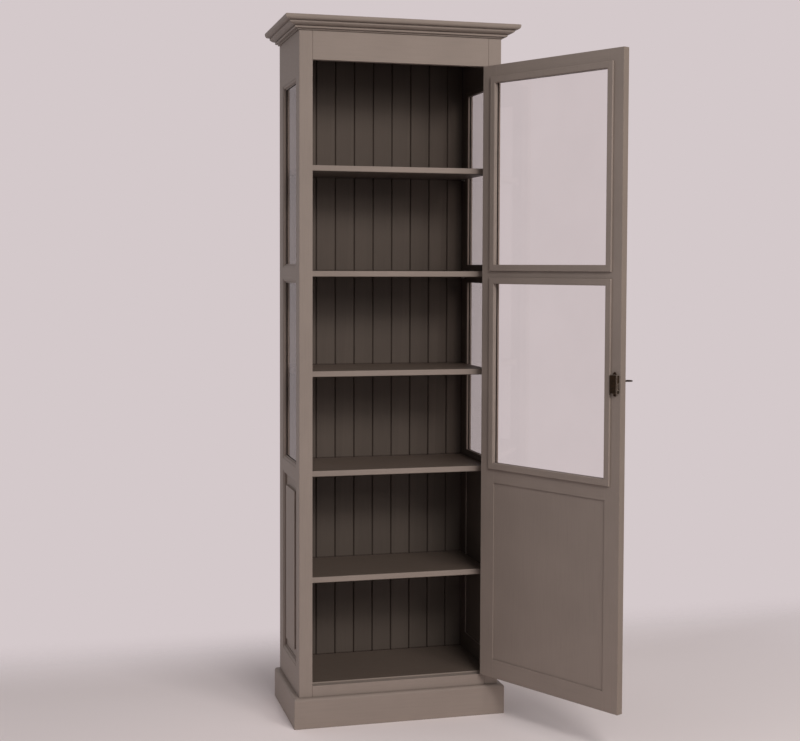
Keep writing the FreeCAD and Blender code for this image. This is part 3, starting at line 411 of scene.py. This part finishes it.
def cabinet_paints():
    """The cabinet's paints by name."""
    return {
        "standing": paint("paint_standing", PAINT, "z"),
        "wide": paint("paint_across", PAINT, "x"),
        "deep": paint("paint_deep", PAINT, "y"),
        # Painted shade: the inner rails and cleats wear a shaded copy of the paint all over.
        "inner": paint("paint_inside", PAINT_DEEP_SHADE, "x"),
        # Painted shade: shelf tops darker than their front edges, undersides darker still.
        "shelf": paint("paint_shelf", PAINT_SHADED, "x", others=[(FRONT, PAINT), (DOWN, PAINT_DEEP_SHADE)]),
        # Painted shade on the back's front face, which looks into the cabinet.
        "back": paint(
            "paint_back",
            PAINT,
            "z",
            others=[(FRONT, PAINT_DEEP_SHADE)],
            shade_strength=BACK_CREVICE_SHADE,
            shade_free_openness=BACK_SHADE_FREE,
            boards=BACK_BOARDS,
        ),
    }


def door_paints():
    """The door's paints for its stiles, its rails and the stile with the lock. They turn with it."""
    standing = paint("paint_door_standing", PAINT, "z", -DOOR_OPEN, shade_strength=DOOR_CREVICE_SHADE)
    wide = paint("paint_door_across", PAINT, "x", -DOOR_OPEN, shade_strength=DOOR_CREVICE_SHADE)
    # Painted shade on the face of the lock stile that looks along the lock edge.
    lock_edge_shade = [(DOOR_EDGE, PAINT_LOCK_EDGE_SHADE)]
    lock = paint("paint_lock_stile", PAINT, "z", -DOOR_OPEN, lock_edge_shade, shade_strength=DOOR_CREVICE_SHADE)
    return standing, wide, lock


def side_paints(side, inwards):
    """A side's paints for its rails and for its stiles, with painted shade on the faces that look inwards."""
    others = [(inwards, PAINT_DEEP_SHADE)]
    return [paint(f"paint_{side}_{along}", PAINT, along, others=others, shade_strength=SIDE_CREVICE_SHADE) for along in "yz"]


def dress():
    """Gives every node its material."""
    cabinet = cabinet_paints()
    door_standing, door_wide, door_lock = door_paints()
    sides = {"side_left": side_paints("side_left", RIGHT), "side_right": side_paints("side_right", LEFT)}
    door_panes, side_panes = glass("glass_door", DOOR_GLASS), glass("glass_side", SIDE_GLASS_SHADED)
    seal, black, bright = tape(), iron(), steel("steel")
    door_screws = steel("steel_door_screws", blackened=True)
    for name in NODES:
        if name.endswith("_glass"):
            material = door_panes if name.startswith("door_") else side_panes
        elif name.endswith("_tape"):
            material = seal
        elif name in LOCK_NODES:
            material = black
        elif name == "screws_door":
            material = door_screws
        elif name.startswith(("hinge_", "screws_")) or name == "shelf_pins":
            material = bright
        elif name == "door_stile_lock":
            material = door_lock
        elif name.startswith("door_"):
            material = door_wide if "_rail_" in name else door_standing
        elif name.startswith("side_"):
            rails, stiles = sides["side_left" if name.startswith("side_left") else "side_right"]
            material = rails if "_rail_" in name else stiles
        elif name.startswith("shelf_") or name == "floor_panel":
            material = cabinet["shelf"]
        elif name == "back_boards":
            material = cabinet["back"]
        elif name in INNER_NODES:
            material = cabinet["inner"]
        elif name in DEEP_NODES:
            material = cabinet["deep"]
        elif name in WIDE_NODES:
            material = cabinet["wide"]
        else:
            material = cabinet["standing"]
        wear(name, material)


# Floor, surroundings and light.

FLOOR_REACH = 6.0
FADE_START, FADE_END = 1.0, 3.0  # metres from the origin over which the floor fades away
BACK_FADE_START, BACK_FADE_END = 0.45, 1.2  # the same along +Y, where the photograph's wall stands
SKY = 0.20  # strength of the light from above
WALL = 1.18  # strength of the light that the wall behind and to the left throws back
WALL_SIDE = (-0.8, 0.6, 0.0)
SKY_SHARPNESS, WALL_SHARPNESS = 1, 2  # powers that narrow the light about its direction
PALE_TO_LEFT = (-0.05, -0.15)  # X of a reflected direction over which PALE turns into PALE_LEFT


def floor():
    """A pale floor that melts into the surroundings and keeps the object's shadow."""
    reach = FLOOR_REACH
    mesh = bpy.data.meshes.new("floor")
    corners = [(-reach, -reach, 0), (reach, -reach, 0), (reach, reach, 0), (-reach, reach, 0)]
    mesh.from_pydata(corners, [], [(0, 1, 2, 3)])
    item = add_object("floor", mesh)
    tree = new_material("floor")
    at = tree.add("ShaderNodeTexCoord").outputs["Object"]
    away = tree.add("ShaderNodeVectorMath", {0: at}, operation="LENGTH").outputs["Value"]
    behind = tree.add("ShaderNodeSeparateXYZ", {"Vector": at}).outputs["Y"]
    fade = tree.math(
        "MAXIMUM",
        tree.span(away, 0.0, 1.0, FADE_START, FADE_END, "SMOOTHSTEP"),
        tree.span(behind, 0.0, 1.0, BACK_FADE_START, BACK_FADE_END, "SMOOTHSTEP"),
    )
    ground = tree.out("ShaderNodeBsdfDiffuse", {"Color": linear(FLOOR)})
    gone = tree.out("ShaderNodeBsdfTransparent")
    mesh.materials.append(tree.close(tree.choose(fade, ground, gone)))


def surroundings():
    """Pale to the camera and in reflections; as light, a soft glow from above and from the wall behind."""
    world = bpy.data.worlds.new("surroundings")
    bpy.context.scene.world = world
    tree = Nodes(world)
    path = tree.add("ShaderNodeLightPath").outputs
    at = tree.add("ShaderNodeTexCoord").outputs["Generated"]

    across = tree.add("ShaderNodeSeparateXYZ", {"Vector": at}).outputs["X"]
    leftness = tree.span(across, 0.0, 1.0, *PALE_TO_LEFT, "SMOOTHSTEP")
    mirrored = tree.math("MULTIPLY", leftness, path["Is Glossy Ray"])
    backdrop = tree.out(
        "ShaderNodeBackground", {"Color": tree.mix(mirrored, linear(PALE), linear(PALE_LEFT))}
    )

    def glow(direction, sharpness, strength):
        towards = tree.math("MAXIMUM", tree.dot(at, direction), 0.0)
        return tree.math("MULTIPLY", tree.math("POWER", towards, sharpness), strength)

    both = tree.math("ADD", glow(UP, SKY_SHARPNESS, SKY), glow(WALL_SIDE, WALL_SHARPNESS, WALL))
    light = tree.out("ShaderNodeBackground", {"Color": GLOW, "Strength": both})

    direct = tree.math("MAXIMUM", path["Is Camera Ray"], path["Is Glossy Ray"])
    direct = tree.math("MAXIMUM", direct, path["Is Transmission Ray"])
    tree.close(tree.choose(direct, light, backdrop), "ShaderNodeOutputWorld")


LAMP_TARGET = (0.1, 0.0, 1.1)
LAMPS = {  # place, side of the square in metres, watts
    "key_light": ((2.0, -4.4, 3.1), 1.6, 91),
    "high_light": ((0.4, -4.4, 3.8), 1.2, 100),
    "left_fill": ((-0.8, -4.8, 3.2), 1.4, 19),
    "right_fill": ((3.6, -3.6, 1.6), 1.6, 25),
    "low_fill": ((0.4, -4.8, 1.4), 1.4, 11),
}


def lamp(name, at, side, power):
    """A square area light that no pane or polished face mirrors."""
    light = bpy.data.lights.new(name, "AREA")
    light.shape = "RECTANGLE"
    light.size = light.size_y = side
    light.energy = power
    item = add_object(name, light)
    item.location = at
    item.rotation_euler = (Vector(LAMP_TARGET) - Vector(at)).to_track_quat("-Z", "Y").to_euler()
    item.visible_glossy = False
    item.visible_transmission = False


camera()
dress()
floor()
surroundings()
for lamp_name, settings in LAMPS.items():
    lamp(lamp_name, *settings)

bpy.context.scene.view_settings.view_transform = "Standard"
